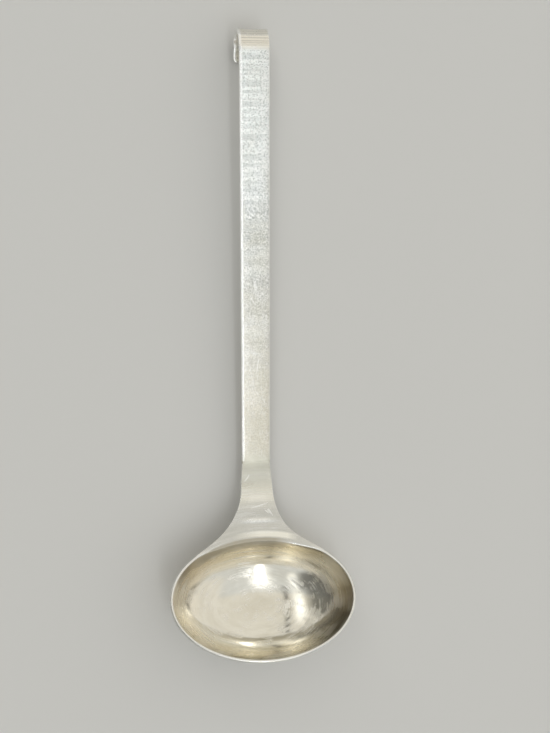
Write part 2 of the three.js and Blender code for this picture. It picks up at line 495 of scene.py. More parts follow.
# %% Weld bead
BEAD_COLUMNS = 20
BEAD_STEPS = 4
BEAD_CROWN = 0.3 * MM
BEAD_RIPPLE = 0.07 * MM
RIPPLE_BOW = 0.3

bead_mesh = bmesh.new()
share_of = bead_mesh.verts.layers.float.new("share")
bead_deep_of = bead_mesh.verts.layers.float.new("deep")
bmesh.ops.create_grid(bead_mesh, x_segments=BEAD_STEPS, y_segments=1, size=1)
for vert in bead_mesh.verts:
    vert[share_of] = (vert.co.x + 1) / 2
    vert[bead_deep_of] = 0 if vert.co.y > 0 else 1


def place_bead_row(verts, column):
    for vert in verts:
        share = vert[share_of]
        along = WELD_GROOVE * share
        depth = rolled_edge(column) * share
        if vert[bead_deep_of]:
            along = -WELD_BEVEL + (WELD_GROOVE + 2 * WELD_BEVEL) * share
            ripple = BEAD_RIPPLE * math.sin(BEAD_COLUMNS * (column + RIPPLE_BOW * share ** 2))
            depth = SHEET + (strap_back(column) - SHEET) * share
            depth += (BEAD_CROWN + ripple) * math.sin(math.pi * share)
        vert.co = neck_tip + along * heading(HANDLE_RISE) - depth * outward(HANDLE_RISE)
        vert.co.x = TONGUE_HALF * column


def flank(share):
    return [face for face in bead_mesh.faces if all(vert[share_of] == share for vert in face.verts)]


bead_end = list(bead_mesh.faces)
place_bead_row(bead_mesh.verts, -1)
for step in range(1, BEAD_COLUMNS + 1):
    bead_end, row_verts = extrude_row(bead_mesh, bead_end, keep=step == 1)
    column = 2 * step / BEAD_COLUMNS - 1
    place_bead_row(row_verts, (column + math.sin(column * math.pi / 2)) / 2)
sharpen(bead_mesh, flank(0))
sharpen(bead_mesh, flank(1))
weld_piece = finish_piece(bead_mesh, "weld_bead", "weld_seam")

# %% [markdown]
# ## Worn steel
# All three finishes are stainless steel, so they share their wear: a fine grain, hair scratches from
# years of washing, lines left by tools, and a thin uneven film. Each of those is a node group, built once,
# and every material places it with its own values. The groups put out masks only, and each material
# decides what a mask does to its colour, its roughness and its relief.

# %% Helpers for nodes
VECTOR, FLOAT = "NodeSocketVector", "NodeSocketFloat"
NOISE_MIDDLE = 0.5


def put(tree, kind, sockets=None, **settings):
    node = tree.nodes.new(kind)
    for name, value in settings.items():
        setattr(node, name, value)
    for name, value in (sockets or {}).items():
        if isinstance(value, bpy.types.NodeSocket):
            tree.links.new(value, node.inputs[name])
        else:
            node.inputs[name].default_value = value
    return node


def new_group(name, inputs, outputs):
    tree = bpy.data.node_groups.new(name, "ShaderNodeTree")
    for socket, kind, value in inputs:
        made = tree.interface.new_socket(socket, in_out="INPUT", socket_type=kind)
        if value is not None:
            made.default_value = value
    for socket in outputs:
        tree.interface.new_socket(socket, in_out="OUTPUT", socket_type=FLOAT)
    print("group", name, "puts out", *outputs)
    return tree, put(tree, "NodeGroupInput").outputs, put(tree, "NodeGroupOutput").inputs


def maths(tree, operation, first, second):
    return put(tree, "ShaderNodeMath", {0: first, 1: second}, operation=operation).outputs[0]


def times(tree, first, second):
    return maths(tree, "MULTIPLY", first, second)


def most_of(tree, first, second):
    return maths(tree, "MAXIMUM", first, second)


def inverse(tree, mask):
    return maths(tree, "SUBTRACT", 1.0, mask)


def distance_from(tree, value, centre):
    return maths(tree, "ABSOLUTE", maths(tree, "SUBTRACT", value, centre), 0.0)


# A mask that runs from one value to another while its input runs from low to high
def ranged(tree, value, low, high, to_low=0.0, to_high=1.0):
    return put(tree, "ShaderNodeMapRange", {
        "Value": value, "From Min": low, "From Max": high, "To Min": to_low, "To Max": to_high,
    }).outputs["Result"]


print("helpers for groups, maths and masks are ready")

# %% Group: fine grain
FLECK_SCALE = 0.8
FLECK_LINE = (0.015, 0.075)

grain_group, source, sink = new_group(
    "steel_grain",
    [("Vector", VECTOR, None), ("Size", FLOAT, 1500.0), ("Level", FLOAT, 0.5), ("Contrast", FLOAT, 0.12)],
    ["Grain", "Flecks"],
)
grain = put(grain_group, "ShaderNodeTexNoise", {
    "Vector": source["Vector"], "Scale": source["Size"], "Detail": 3.0, "Roughness": 0.7,
})
low = maths(grain_group, "SUBTRACT", source["Level"], source["Contrast"])
high = maths(grain_group, "ADD", source["Level"], source["Contrast"])
grain_group.links.new(ranged(grain_group, grain.outputs[0], low, high), sink["Grain"])
flecks = put(grain_group, "ShaderNodeTexNoise", {
    "Vector": source["Vector"], "Scale": times(grain_group, source["Size"], FLECK_SCALE), "Detail": 1.0,
    "Distortion": 0.8,
})
off_line = distance_from(grain_group, flecks.outputs[0], NOISE_MIDDLE)
grain_group.links.new(ranged(grain_group, off_line, *FLECK_LINE, 1.0, 0.0), sink["Flecks"])

# %% Group: hair scratches
SCRATCH_ANGLES = (8, -24, 66)
SCRATCH_STRETCH = 0.04
SCRATCH_SHIFT = Vector((0.37, 0.11, 0))
PATCH_SCALE = 0.25
PATCH_RANGE = (0.45, 0.65)

scratch_group, source, sink = new_group(
    "hair_scratches",
    [("Vector", VECTOR, None), ("Spacing", FLOAT, 700.0), ("Width", FLOAT, 0.03), ("Curl", FLOAT, 0.3)],
    ["Scratches"],
)
most = 0.0
for index, angle in enumerate(SCRATCH_ANGLES):
    turned = put(scratch_group, "ShaderNodeMapping", {
        "Vector": source["Vector"], "Rotation": (0, 0, math.radians(angle)),
        "Location": index * SCRATCH_SHIFT, "Scale": (1, SCRATCH_STRETCH, 1),
    })
    lines = put(scratch_group, "ShaderNodeTexNoise", {
        "Vector": turned.outputs[0], "Scale": source["Spacing"], "Detail": 0.0, "Distortion": source["Curl"],
    })
    off_line = distance_from(scratch_group, lines.outputs[0], NOISE_MIDDLE)
    most = most_of(scratch_group, most, ranged(scratch_group, off_line, 0.0, source["Width"], 1.0, 0.0))
patches = put(scratch_group, "ShaderNodeTexNoise", {
    "Vector": source["Vector"], "Scale": times(scratch_group, source["Spacing"], PATCH_SCALE), "Detail": 2.0,
})
patchy = ranged(scratch_group, patches.outputs[0], *PATCH_RANGE)
scratch_group.links.new(times(scratch_group, most, patchy), sink["Scratches"])

# %% Group: one single scratch
SCRATCH_RISE = 0.2
SCRATCH_FALL = 0.6

single_group, source, sink = new_group(
    "single_scratch",
    [("Vector", VECTOR, None), ("Start", VECTOR, None), ("Angle", FLOAT, 0.0), ("Length", FLOAT, 0.005),
     ("Width", FLOAT, 0.0003), ("Bow", FLOAT, 0.0)],
    ["Scratch"],
)
from_start = put(single_group, "ShaderNodeVectorMath", {
    0: source["Vector"], 1: source["Start"],
}, operation="SUBTRACT")
laid = put(single_group, "ShaderNodeVectorRotate", {
    "Vector": from_start.outputs[0], "Angle": times(single_group, source["Angle"], -1.0),
}, rotation_type="Z_AXIS")
laid_axes = put(single_group, "ShaderNodeSeparateXYZ", {0: laid.outputs[0]}).outputs
bow = times(single_group, maths(single_group, "POWER", laid_axes["X"], 2.0), source["Bow"])
off_line = distance_from(single_group, laid_axes["Y"], bow)
line = ranged(single_group, off_line, 0.0, source["Width"], 1.0, 0.0)
rise_end = times(single_group, source["Length"], SCRATCH_RISE)
fall_start = times(single_group, source["Length"], SCRATCH_FALL)
line = times(single_group, line, ranged(single_group, laid_axes["X"], 0.0, rise_end))
line = times(single_group, line, ranged(single_group, laid_axes["X"], source["Length"], fall_start))
single_group.links.new(line, sink["Scratch"])

# %% Group: tool lines
lines_group, source, sink = new_group(
    "tool_lines",
    [("Along", FLOAT, 0.0), ("Density", FLOAT, 300.0), ("Detail", FLOAT, 1.0), ("Low", FLOAT, 0.4),
     ("High", FLOAT, 0.6)],
    ["Lines"],
)
lines = put(lines_group, "ShaderNodeTexNoise", {
    "W": times(lines_group, source["Along"], source["Density"]), "Scale": 1.0, "Detail": source["Detail"],
}, noise_dimensions="1D")
lines_group.links.new(ranged(lines_group, lines.outputs[0], source["Low"], source["High"]), sink["Lines"])

# %% Group: uneven film
FILM_RANGE = (0.35, 0.68)

film_group, source, sink = new_group(
    "wash_film",
    [("Vector", VECTOR, None), ("Size", FLOAT, 60.0)],
    ["Film"],
)
broad = put(film_group, "ShaderNodeTexNoise", {
    "Vector": source["Vector"], "Scale": source["Size"], "Detail": 4.0, "Distortion": 0.6,
})
film_group.links.new(ranged(film_group, broad.outputs[0], *FILM_RANGE), sink["Film"])

# %% [markdown]
# ## Satin steel of the strap
# The strap was never polished. Its front is covered with fine flecks, bright and dark, its upper half is
# rippled across, and it is warmer towards the bowl, where it was heated. Flecks made by relief alone would
# darken a face that mirrors one bright strip, so they are mostly colour, over a very shallow relief. The
# colour is a stack of layers, as a painter would lay it: each has a mask, a strength and a tone, from the
# bottom up.

# %% Helpers for masks, layers and roughness
def use(tree, group, sockets):
    return put(tree, "ShaderNodeGroup", sockets, node_tree=group).outputs


# Tones are written as three numbers, and the fourth that a colour socket needs is added here
def blend(tree, share, first, second):
    tones = [value if isinstance(value, bpy.types.NodeSocket) else (*value, 1) for value in (first, second)]
    return put(tree, "ShaderNodeMix", {0: share, 6: tones[0], 7: tones[1]}, data_type="RGBA").outputs[2]


def layered(tree, colour, layers):
    for mask, amount, tone in layers:
        colour = blend(tree, times(tree, mask, amount), colour, tone)
    return colour


def rougher(tree, rough, changes):
    for mask, amount in changes:
        rough = maths(tree, "ADD", rough, times(tree, mask, amount))
    return rough


# The same as ranged, between two places given in mm
def rising(tree, value, start, end, *shares):
    return ranged(tree, value, start * MM, end * MM, *shares)


print("helpers for masks, layers and roughness are ready")

# %% Helpers for a steel material
def steel_material(name):
    material = bpy.data.materials.new(name)
    material.use_nodes = True
    tree = material.node_tree
    shader = tree.nodes["Principled BSDF"]
    shader.inputs["Metallic"].default_value = 1.0
    place = put(tree, "ShaderNodeTexCoord").outputs["Object"]
    return material, tree, shader, place


# The coordinates turned into the rim's own frame
def rim_coordinates(tree, place):
    to_rim = rim_to_row.inverted()
    level = put(tree, "ShaderNodeMapping", {
        "Vector": place, "Location": to_rim.translation, "Rotation": to_rim.to_euler(),
    }).outputs[0]
    return level, put(tree, "ShaderNodeSeparateXYZ", {0: level}).outputs


# The strongest of several single scratches: start x and y in mm, angle in degrees, length, width, bow
def single_scratches(tree, level, scratches):
    most = 0.0
    for x, y, angle, length, width, bow in scratches:
        one = use(tree, single_group, {
            "Vector": level, "Start": (x * MM, y * MM, 0), "Angle": math.radians(angle),
            "Length": length * MM, "Width": width * MM, "Bow": bow / MM,
        })
        most = most_of(tree, most, one["Scratch"])
    return most


def finish(piece, material, tree, shader, height, depth):
    bump = put(tree, "ShaderNodeBump", {"Height": height, "Strength": 1.0, "Distance": depth})
    tree.links.new(bump.outputs[0], shader.inputs["Normal"])
    piece.data.materials.append(material)
    print("finish", material.name, "with", len(tree.nodes), "nodes")


print("helpers for a steel material are ready")

# %% Satin steel: places along and across the strap
# Along the strap in mm from the rim's centre, across it as a share of its half width
HEATED = (165, 95)
HOOK_END_PAINTED_LIGHT = (165, 225)
HOOK = (258.5, 260.5)
STRAP_END = (74.5, 69)
LEFT_EDGE = (-0.80, -0.90)
RIGHT_EDGE = (0.92, 0.99)
RIGHT_EDGE_SHARE = 0.6
LEFT_SIDE = (-0.3, -0.85)
RIGHT_SIDE = (0.1, 0.95)
HEATED_PLAIN = 0.25
EDGE_PLAIN = 0.9

satin, tree, shader, place = steel_material("satin_steel")
level, level_axes = rim_coordinates(tree, place)
column = put(tree, "ShaderNodeAttribute", attribute_name="column").outputs["Fac"]
heated = rising(tree, level_axes["Y"], *HEATED)
# Painted light: the strap is painted lighter and cooler towards the hook end
hook_end_painted_light = rising(tree, level_axes["Y"], *HOOK_END_PAINTED_LIGHT)
hook = rising(tree, level_axes["Y"], *HOOK)
strap_foot = rising(tree, level_axes["Y"], *STRAP_END)
# Painted light across the strap: its left side is painted lighter and its right side painted darker
painted_light_left_side = ranged(tree, column, *LEFT_SIDE)
painted_shade_right_side = ranged(tree, column, *RIGHT_SIDE)
right_edge = ranged(tree, column, *RIGHT_EDGE, 0.0, RIGHT_EDGE_SHARE)
edge = most_of(tree, ranged(tree, column, *LEFT_EDGE), right_edge)
plain = most_of(tree, times(tree, heated, HEATED_PLAIN), hook)
plain = most_of(tree, plain, times(tree, edge, EDGE_PLAIN))
flecked = inverse(tree, plain)
print("strap is heated below", HEATED[0], "mm and has its hook above", HOOK[0], "mm")

# %% Satin steel: flecks, ripples, lines and scratches
# Flecks weaken with the heat, ripples to the right and below the middle, and the warm film fades towards the
# hook end, which is painted lighter
DARK_FLECKS = (0.55, 0.34)
DARK_FADE = (0.0, 0.6)
BRIGHT_FLECKS = (0.85, 0.5)
BRIGHT_FADE = (0.0, 0.8)
RIPPLED_SIDE = (0.9, -0.3)
RIPPLE_ACROSS = (0.2, 1.0)
RIPPLED = (150, 180)
RIPPLE_ALONG = (0.1, 0.4)
WARM_FILM = (0.28, 0.1)
EDGE_AT_FOOT = 0.4
BAND_STRETCH = (22, 130, 22)
BAND_RANGE = (0.38, 0.64)
STRAP_SCRATCHES = (
    (-4.2, 187.2, -52, 5.4, 0.45, 0.02), (-1.2, 187.0, -66, 2.6, 0.35, 0), (3.1, 232.0, -80, 9, 0.3, 0.004),
    (-3.0, 148.0, -64, 7, 0.3, 0.006), (1.5, 118.0, -97, 8, 0.3, -0.005), (4.2, 205.0, -102, 6, 0.3, 0),
)

grain = use(tree, grain_group, {"Vector": place, "Size": 1200.0, "Level": 0.48, "Contrast": 0.05})
dark_flecks = times(tree, inverse(tree, grain["Grain"]), flecked)
dark_flecks = times(tree, dark_flecks, ranged(tree, heated, *DARK_FADE, *DARK_FLECKS))
bright_flecks = times(tree, grain["Flecks"], flecked)
bright_flecks = times(tree, bright_flecks, ranged(tree, heated, *BRIGHT_FADE, *BRIGHT_FLECKS))
ripples = use(tree, lines_group, {"Along": level_axes["Y"], "Density": 330.0, "Low": 0.44, "High": 0.58})
rippled = times(tree, ripples["Lines"], ranged(tree, column, *RIPPLED_SIDE, *RIPPLE_ACROSS))
rippled = times(tree, rippled, flecked)
rippled = times(tree, rippled, rising(tree, level_axes["Y"], *RIPPLED, *RIPPLE_ALONG))
hook_lines = use(tree, lines_group, {"Along": level_axes["Y"], "Density": 1100.0, "Low": 0.42, "High": 0.60})
hook_marks = times(tree, hook_lines["Lines"], hook)
hair = use(tree, scratch_group, {"Vector": place, "Spacing": 420.0, "Width": 0.02, "Curl": 0.2})["Scratches"]
singles = single_scratches(tree, level, STRAP_SCRATCHES)
film = use(tree, film_group, {"Vector": place, "Size": 70.0})["Film"]
warm_film = times(tree, film, ranged(tree, hook_end_painted_light, 0.0, 1.0, *WARM_FILM))
across = put(tree, "ShaderNodeMapping", {"Vector": place, "Scale": BAND_STRETCH})
bands = put(tree, "ShaderNodeTexNoise", {"Vector": across.outputs[0], "Scale": 1.0, "Detail": 2.0})
band_share = ranged(tree, bands.outputs[0], *BAND_RANGE)
# Painted highlight along the rolled edges of the strap, weaker at its foot
painted_edge_highlight = times(tree, edge, ranged(tree, strap_foot, 0.0, 1.0, 1.0, EDGE_AT_FOOT))
print("single scratches on the strap:", len(STRAP_SCRATCHES))

# %% Satin steel: colour, gloss and relief
BAND_TONES = ((0.44, 0.445, 0.43), (0.68, 0.69, 0.67))
SATIN_ROUGH = (0.34, 0.44)
HOOK_GLOSS = 0.1
EDGE_GLOSS = 0.18
FINE_RELIEF = 0.01 * MM

colour = layered(tree, blend(tree, band_share, *BAND_TONES), (
    # Painted light: the left side of the strap is painted lighter
    (painted_light_left_side, 0.4, (0.97, 0.975, 0.95)),
    # Painted light: lighter and cooler towards the hook end
    (hook_end_painted_light, 0.85, (0.95, 1.0, 0.99)),
    # Painted shade: the right side of the strap is painted darker
    (painted_shade_right_side, 0.25, (0.58, 0.585, 0.57)),
    (heated, 0.8, (0.60, 0.555, 0.465)),
    (dark_flecks, 1.0, (0.20, 0.21, 0.205)),
    (bright_flecks, 1.0, (1.0, 1.0, 0.99)),
    (rippled, 1.0, (0.42, 0.45, 0.445)),
    (hook, 1.0, (0.93, 0.905, 0.83)),
    (hook_marks, 0.5, (0.58, 0.56, 0.51)),
    (warm_film, 1.0, (0.78, 0.755, 0.61)),
    (hair, 0.5, (0.95, 0.95, 0.94)),
    (singles, 0.8, (0.97, 0.97, 0.96)),
    (strap_foot, 1.0, (0.61, 0.60, 0.515)),
    # Painted highlight on the rolled edges
    (painted_edge_highlight, 0.95, (1.0, 1.0, 0.98)),
))
tree.links.new(colour, shader.inputs["Base Color"])
rough = ranged(tree, film, 0.0, 1.0, *SATIN_ROUGH)
rough = rougher(tree, rough, ((hook, -HOOK_GLOSS), (painted_edge_highlight, -EDGE_GLOSS)))
tree.links.new(rough, shader.inputs["Roughness"])
height = times(tree, grain["Grain"], flecked)
height = maths(tree, "SUBTRACT", height, most_of(tree, hair, singles))
height = maths(tree, "SUBTRACT", height, hook_marks)
finish(handle_piece, satin, tree, shader, height, FINE_RELIEF)

# %% [markdown]
# ## Worn polish of the bowl
# The bowl was polished round and round, and stirring wore it further. Fine rings run along the wall, hair
# scratches curl over the floor and worn arcs lighten it. Light and shade are painted on the wall too: it is
# painted lighter and warmer all round, with a painted glow and less metal on the left, painted shade at the
# upper left and a painted dark reflection on the right. Towards the weld the polish fades into the satin of
# the strap. Rings need the rim's frame, so a Mapping node turns the coordinates level first, and dividing
# them by the rim's half axes makes the oval a circle.

# %% Polished steel: places on the bowl and neck
# Shares of the rim's half axes
WALL = (0.70, 0.92)
RIM = (0.84, 0.95)
BEYOND_RIM = (0.965, 0.985)
LIP = (0.87, 0.90)
LIP_OUTSIDE = (0.97, 0.95)
LIP_SIDE = (0.36, 0.16)
NECK_SIDE = (0.55, 0.70)
# In mm along the neck, and up from the rim
NECK_SKIN = (-0.9, -0.3)
BELOW_RIM = (-1, -4)
PAINTED_HIGHLIGHT_PATCH = (45, 51)
GROUND = (55, 66)
TONGUE_END = (65, 69)
EDGE_WEAR_AND_HIGHLIGHT = (0.25, 0.9)

polished, tree, shader, place = steel_material("polished_steel")
level, level_axes = rim_coordinates(tree, place)
oval = put(tree, "ShaderNodeVectorMath", {0: level, 1: (1 / RIM_X, 1 / RIM_Y, 0)}, operation="MULTIPLY")
radius = put(tree, "ShaderNodeVectorMath", {0: oval.outputs[0]}, operation="LENGTH").outputs["Value"]
oval_axes = put(tree, "ShaderNodeSeparateXYZ", {0: oval.outputs[0]}).outputs
wall = ranged(tree, radius, *WALL)
neck_side = ranged(tree, oval_axes["Y"], *NECK_SIDE)
rim = times(tree, ranged(tree, radius, *RIM), inverse(tree, neck_side))
neck_top = times(tree, neck_side, rising(tree, level_axes["Z"], *NECK_SKIN))
outside = most_of(tree, ranged(tree, radius, *BEYOND_RIM), neck_top)
inner_rim = most_of(tree, maths(tree, "SUBTRACT", rim, outside), 0.0)
lip = times(tree, ranged(tree, radius, *LIP), ranged(tree, radius, *LIP_OUTSIDE))
lip = times(tree, lip, times(tree, neck_side, ranged(tree, oval_axes["X"], *LIP_SIDE)))
below_rim = rising(tree, level_axes["Z"], *BELOW_RIM)
# Painted highlight: a bright patch on the neck
painted_highlight_patch = rising(tree, level_axes["Y"], *PAINTED_HIGHLIGHT_PATCH)
ground_end = rising(tree, level_axes["Y"], *GROUND)
tongue_end = rising(tree, level_axes["Y"], *TONGUE_END)
edge = ranged(tree, put(tree, "ShaderNodeAttribute", attribute_name="edge").outputs["Fac"], *EDGE_WEAR_AND_HIGHLIGHT)
print("wall begins at", WALL[0], "of the rim's half axes, the ground end at", GROUND[0], "mm")

# %% Polished steel: painted light and shade on the wall
# Each painted patch lies between two ramps, along x and along y
GLOW = ((-0.6, -0.9), (0.5, 0.1))
SHADE = ((-0.3, -0.55), (0.2, 0.45))
PAINTED_DARK_REFLECTION = ((0.55, 0.80), (0.5, 0.1))
PAINTED_DARK_REFLECTION_SHARE = (0.1, 1.0)


def oval_patch(x_ramp, y_ramp, y_share=(0.0, 1.0)):
    across = ranged(tree, oval_axes["X"], *x_ramp)
    return times(tree, across, ranged(tree, oval_axes["Y"], *y_ramp, *y_share))


# Painted glow on the left wall
glow = oval_patch(*GLOW)
# Painted shade at the upper left of the wall
shade = times(tree, oval_patch(*SHADE), wall)
# Painted dark reflection on the right wall
painted_dark_reflection = times(tree, oval_patch(*PAINTED_DARK_REFLECTION, PAINTED_DARK_REFLECTION_SHARE), wall)
dull = times(tree, glow, maths(tree, "SUBTRACT", wall, outside))
film = use(tree, film_group, {"Vector": place, "Size": 45.0})["Film"]
# Glow, shade and the dark reflection are painted light and shade on the wall
print("films on the wall: glow, shade and tarnish")

# %% Polished steel: rings, arcs and scratches
# Radius and angle laid out flat, in about the lengths that they have on the bowl
RADIUS_LENGTH = 40 * MM
RADIAN_LENGTH = 25 * MM
ARC_STRETCH = (300, 70, 1)
ARC_RANGE = (0.38, 0.62)
ARC_RADIUS = (0.10, 0.35)
SWIRL_SIDE = (0.42, 0.52)
SWIRL_RADIUS = (0.9, 0.8)
NECK_SCRATCHES = (
    (-4.5, 46.0, 6, 11.0, 0.5, 0.014), (5.1, 45.6, -59, 5.0, 0.5, 0), (3.3, 44.9, -40, 3.2, 0.4, 0),
    (4.4, 45.3, -52, 4.2, 0.4, 0.01), (-3.5, 63.3, -117, 5.4, 0.5, -0.04), (-6.6, 39.5, 12, 5.0, 0.3, 0.01),
)

angle = maths(tree, "ARCTAN2", oval_axes["Y"], oval_axes["X"])
round_bowl = put(tree, "ShaderNodeCombineXYZ", {
    "X": times(tree, radius, RADIUS_LENGTH), "Y": times(tree, angle, RADIAN_LENGTH),
}).outputs[0]
rings = use(tree, lines_group, {"Along": radius, "Density": 110.0, "Detail": 3.0, "Low": 0.40, "High": 0.65})
ring_lines = times(tree, rings["Lines"], wall)
stretched = put(tree, "ShaderNodeMapping", {"Vector": round_bowl, "Scale": ARC_STRETCH})
streaks = put(tree, "ShaderNodeTexNoise", {"Vector": stretched.outputs[0], "Scale": 1.0, "Detail": 2.0})
streaked = ranged(tree, streaks.outputs[0], *ARC_RANGE)
arcs = times(tree, streaked, ranged(tree, radius, *ARC_RADIUS))
grain = use(tree, grain_group, {"Vector": place, "Size": 1800.0, "Contrast": 0.2})
hair = use(tree, scratch_group, {
    "Vector": round_bowl, "Spacing": 420.0, "Width": 0.065, "Curl": 0.8,
})["Scratches"]
swirls = use(tree, scratch_group, {"Vector": round_bowl, "Spacing": 800.0, "Width": 0.10, "Curl": 1.6})
swirl_side = times(tree, ranged(tree, oval_axes["X"], *SWIRL_SIDE), ranged(tree, radius, *SWIRL_RADIUS))
swirled = times(tree, swirl_side, swirls["Scratches"])
singles = single_scratches(tree, level, NECK_SCRATCHES)
scratched = most_of(tree, hair, singles)
print("single scratches on the neck:", len(NECK_SCRATCHES))

# %% Polished steel: tone of the neck
# Painted glints on the neck: along the neck in mm, with their half widths
PAINTED_GLINTS = ((51.3, 3.0), (40.0, 1.5))
PAINTED_GLINTS_SIDE = (10, 3)
PAINTED_LIP_GLINT_RADIUS = 1.02
PAINTED_LIP_GLINT_WIDTH = (0.03, 0.06)
PAINTED_LIP_GLINT_SIDES = ((-0.3, 0.0), (0.42, 0.30))
NECK_TONES = ((0.69, 0.69, 0.655), (0.76, 0.76, 0.73))

# Painted glints across the neck
painted_glint = 0.0
for middle, half_width in PAINTED_GLINTS:
    off_middle = distance_from(tree, level_axes["Y"], middle * MM)
    painted_glint = most_of(tree, painted_glint, ranged(tree, off_middle, 0.0, half_width * MM, 1.0, 0.0))
painted_glint = times(tree, painted_glint, rising(tree, distance_from(tree, level_axes["X"], 0.0), *PAINTED_GLINTS_SIDE))
# Painted glint along the neck just above the mouth
painted_lip_glint = ranged(tree, distance_from(tree, radius, PAINTED_LIP_GLINT_RADIUS), *PAINTED_LIP_GLINT_WIDTH, 1.0, 0.0)
for ramp in PAINTED_LIP_GLINT_SIDES:
    painted_lip_glint = times(tree, painted_lip_glint, ranged(tree, oval_axes["X"], *ramp))
neck_tone = layered(tree, blend(tree, streaked, *NECK_TONES), (
    # Painted highlight patch on the neck
    (painted_highlight_patch, 0.9, (0.90, 0.885, 0.79)),
    (inverse(tree, grain["Grain"]), 0.3, (0.45, 0.45, 0.43)),
    (ground_end, 1.0, (0.475, 0.465, 0.40)),
    (tongue_end, 1.0, (0.55, 0.54, 0.46)),
    # Painted glints on the neck
    (painted_glint, 0.75, (1.0, 0.985, 0.93)),
    # Painted glint above the mouth
    (painted_lip_glint, 1.0, (1.0, 0.99, 0.92)),
))
# The places counted here are painted glints
print("burnished places on the neck:", len(PAINTED_GLINTS))

# %% Polished steel: colour, gloss and relief
FLOOR_TONES = ((0.79, 0.755, 0.655), (0.88, 0.85, 0.76))
OUTSIDE_TONE = (0.72, 0.70, 0.64)
DULL_METAL = 0.5
POLISH_ROUGH = (0.08, 0.13)
GRAIN_RELIEF = 0.2

colour = layered(tree, blend(tree, film, *FLOOR_TONES), (
    (arcs, 0.5, (0.94, 0.92, 0.84)),
    # Painted reflection: the wall is painted lighter and warmer than the floor
    (wall, 0.9, (0.98, 0.925, 0.815)),
    (rim, 1.0, (0.98, 0.96, 0.90)),
    # Painted glow on the left wall
    (glow, 1.0, (1.0, 0.93, 0.77)),
    # Painted shade at the upper left of the wall
    (shade, 0.7, (0.57, 0.505, 0.415)),
    # Painted dark reflection on the right wall
    (painted_dark_reflection, 0.95, (0.18, 0.16, 0.125)),
    (ring_lines, 0.25, (0.66, 0.59, 0.47)),
    (outside, 1.0, blend(tree, below_rim, neck_tone, OUTSIDE_TONE)),
    # Painted shade along the lip, where the neck folds into the wall
    (lip, 0.9, (0.55, 0.51, 0.42)),
    (hair, 0.4, (0.96, 0.95, 0.92)),
    (singles, 0.9, (0.98, 0.975, 0.95)),
    # Rubbed edges of rim and neck, lightened further as a painted highlight
    (edge, 0.9, (0.97, 0.965, 0.93)),
))
tree.links.new(colour, shader.inputs["Base Color"])
tree.links.new(ranged(tree, dull, 0.0, 1.0, 1.0, DULL_METAL), shader.inputs["Metallic"])
rough = rougher(tree, ranged(tree, film, 0.0, 1.0, *POLISH_ROUGH), (
    (wall, 0.1),
    (inner_rim, 0.1),
    (scratched, 0.32),
    (swirled, 0.3),
    (ground_end, 0.18),
    (lip, 0.4),
))
tree.links.new(rough, shader.inputs["Roughness"])
height = maths(tree, "SUBTRACT", ring_lines, scratched)
height = maths(tree, "ADD", height, times(tree, grain["Grain"], GRAIN_RELIEF))
finish(bowl_piece, polished, tree, shader, height, FINE_RELIEF)

# %% [markdown]
# ## Ground metal of the weld
# At the front the weld was ground flush with a coarse wheel and left a shade greyer than the strap. At the
# back it keeps the straw colour that heat gives steel. Two materials would meet in a hard line along the
# edge of a face, so one material does both and turns from one to the other by the way the surface faces.

# %% Ground weld
STRAW_TONES = ((0.60, 0.52, 0.40), (0.66, 0.63, 0.58))
FRONT_TONES = ((0.61, 0.60, 0.52), (0.66, 0.65, 0.57))
FACING_UP = (-0.2, 0.4)
WELD_ROUGH = (0.36, 0.46)
COARSE_RELIEF = 0.02 * MM

ground, tree, shader, place = steel_material("ground_weld")
grain = use(tree, grain_group, {"Vector": place, "Size": 1500.0, "Contrast": 0.16})["Grain"]
film = use(tree, film_group, {"Vector": place, "Size": 300.0})["Film"]
hair = use(tree, scratch_group, {"Vector": place, "Spacing": 900.0, "Width": 0.05, "Curl": 0.1})["Scratches"]
normal = put(tree, "ShaderNodeNewGeometry").outputs["Normal"]
facing_up = ranged(tree, put(tree, "ShaderNodeSeparateXYZ", {0: normal}).outputs["Z"], *FACING_UP)
front = blend(tree, grain, *FRONT_TONES)
colour = blend(tree, facing_up, blend(tree, film, *STRAW_TONES), front)
tree.links.new(colour, shader.inputs["Base Color"])
tree.links.new(ranged(tree, grain, 0.0, 1.0, *WELD_ROUGH), shader.inputs["Roughness"])
height = maths(tree, "SUBTRACT", grain, hair)
finish(weld_piece, ground, tree, shader, height, COARSE_RELIEF)

# %% [markdown]
# ## A plain studio
# Steel shows its surroundings, so the room matters as much as the metal. A soft pale dome lights
# everything evenly, and its foot has the tone of the floor, so that no horizon shows. A bright strip on the
# right gives the strap its bright face and the bowl a glint, a softer strip on the left gives the bowl a
# second one, and dark areas on the left give it its dark side. All of them are drawn in the dome by
# direction, because a lamp would show hard edges in the polished floor of the bowl.

# %% Floor
FLOOR_SIDE = 30.0
PAPER_TONE = (0.74, 0.74, 0.73, 1)
PAPER_ROUGHNESS = 0.9

floor_mesh = bmesh.new()
bmesh.ops.create_grid(floor_mesh, x_segments=1, y_segments=1, size=FLOOR_SIDE / 2)
floor_data = bpy.data.meshes.new("studio_floor")
floor_mesh.to_mesh(floor_data)
floor_mesh.free()
floor = bpy.data.objects.new("studio_floor", floor_data)
bpy.context.scene.collection.objects.link(floor)
paper = bpy.data.materials.new("pale_paper")
paper.use_nodes = True
paper_shader = paper.node_tree.nodes["Principled BSDF"]
paper_shader.inputs["Base Color"].default_value = PAPER_TONE
paper_shader.inputs["Roughness"].default_value = PAPER_ROUGHNESS
floor_data.materials.append(paper)
print("floor", FLOOR_SIDE, "m wide")

